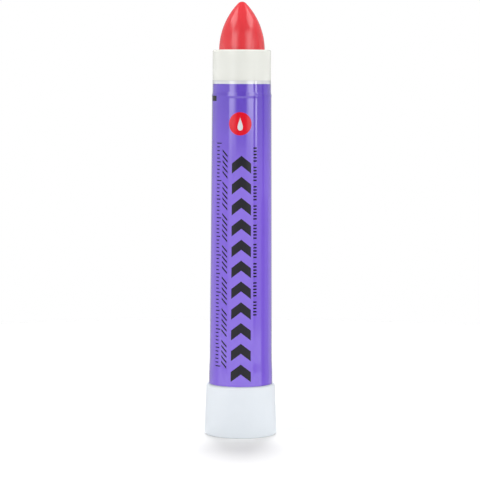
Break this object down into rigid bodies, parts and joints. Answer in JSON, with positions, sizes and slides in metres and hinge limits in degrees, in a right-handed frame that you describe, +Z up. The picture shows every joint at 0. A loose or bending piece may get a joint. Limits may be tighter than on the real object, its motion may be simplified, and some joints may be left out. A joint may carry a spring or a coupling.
{
  "type": "solid paint marker",
  "caption": "Twist-up solid paint marker, cap off: a pointed red stick of paint in a white neck, a slim barrel under a violet film label, and a white knob at the foot that feeds the stick.",
  "frame": {"origin": "centre of the knob's underside, where the marker stands", "axes": "+Z up the marker's axis to the paint's tip; -Y faces the viewer of the picture, +X to the viewer's right"},
  "size_m": [0.0194, 0.0194, 0.117],
  "materials": {
    "barrel_plastic": "satin moulded, warm white",
    "label_film": "glossy printed film, violet with a white margin",
    "knob_plastic": "satin moulded, cool white",
    "inner_plastic": "plain moulded",
    "solid_paint": "waxy, softly shiny red"
  },
  "bodies": {
    "barrel": {"barrel": "barrel_plastic", "label_film": "label_film", "bearing_plug": "inner_plastic"},
    "knob": {"twist_knob": "knob_plastic", "lead_screw": "inner_plastic"},
    "stick": {"carrier": "inner_plastic", "paint_stick": "solid_paint"}
  },
  "joints": [
    {"name": "knob_turn", "type": "hinge", "parent": "barrel", "child": "knob", "pos_m": [0, 0, 0], "axis": [0, 0, 1], "range_deg": [-1009, 3889]},
    {"name": "stick_feed", "type": "slide", "parent": "barrel", "child": "stick", "axis": [0, 0, 1], "range_m": [-0.014, 0.054]}
  ],
  "couplings": [
    {"joint": "knob_turn", "follows": "stick_feed", "rad_per_m": 1256.6}
  ]
}
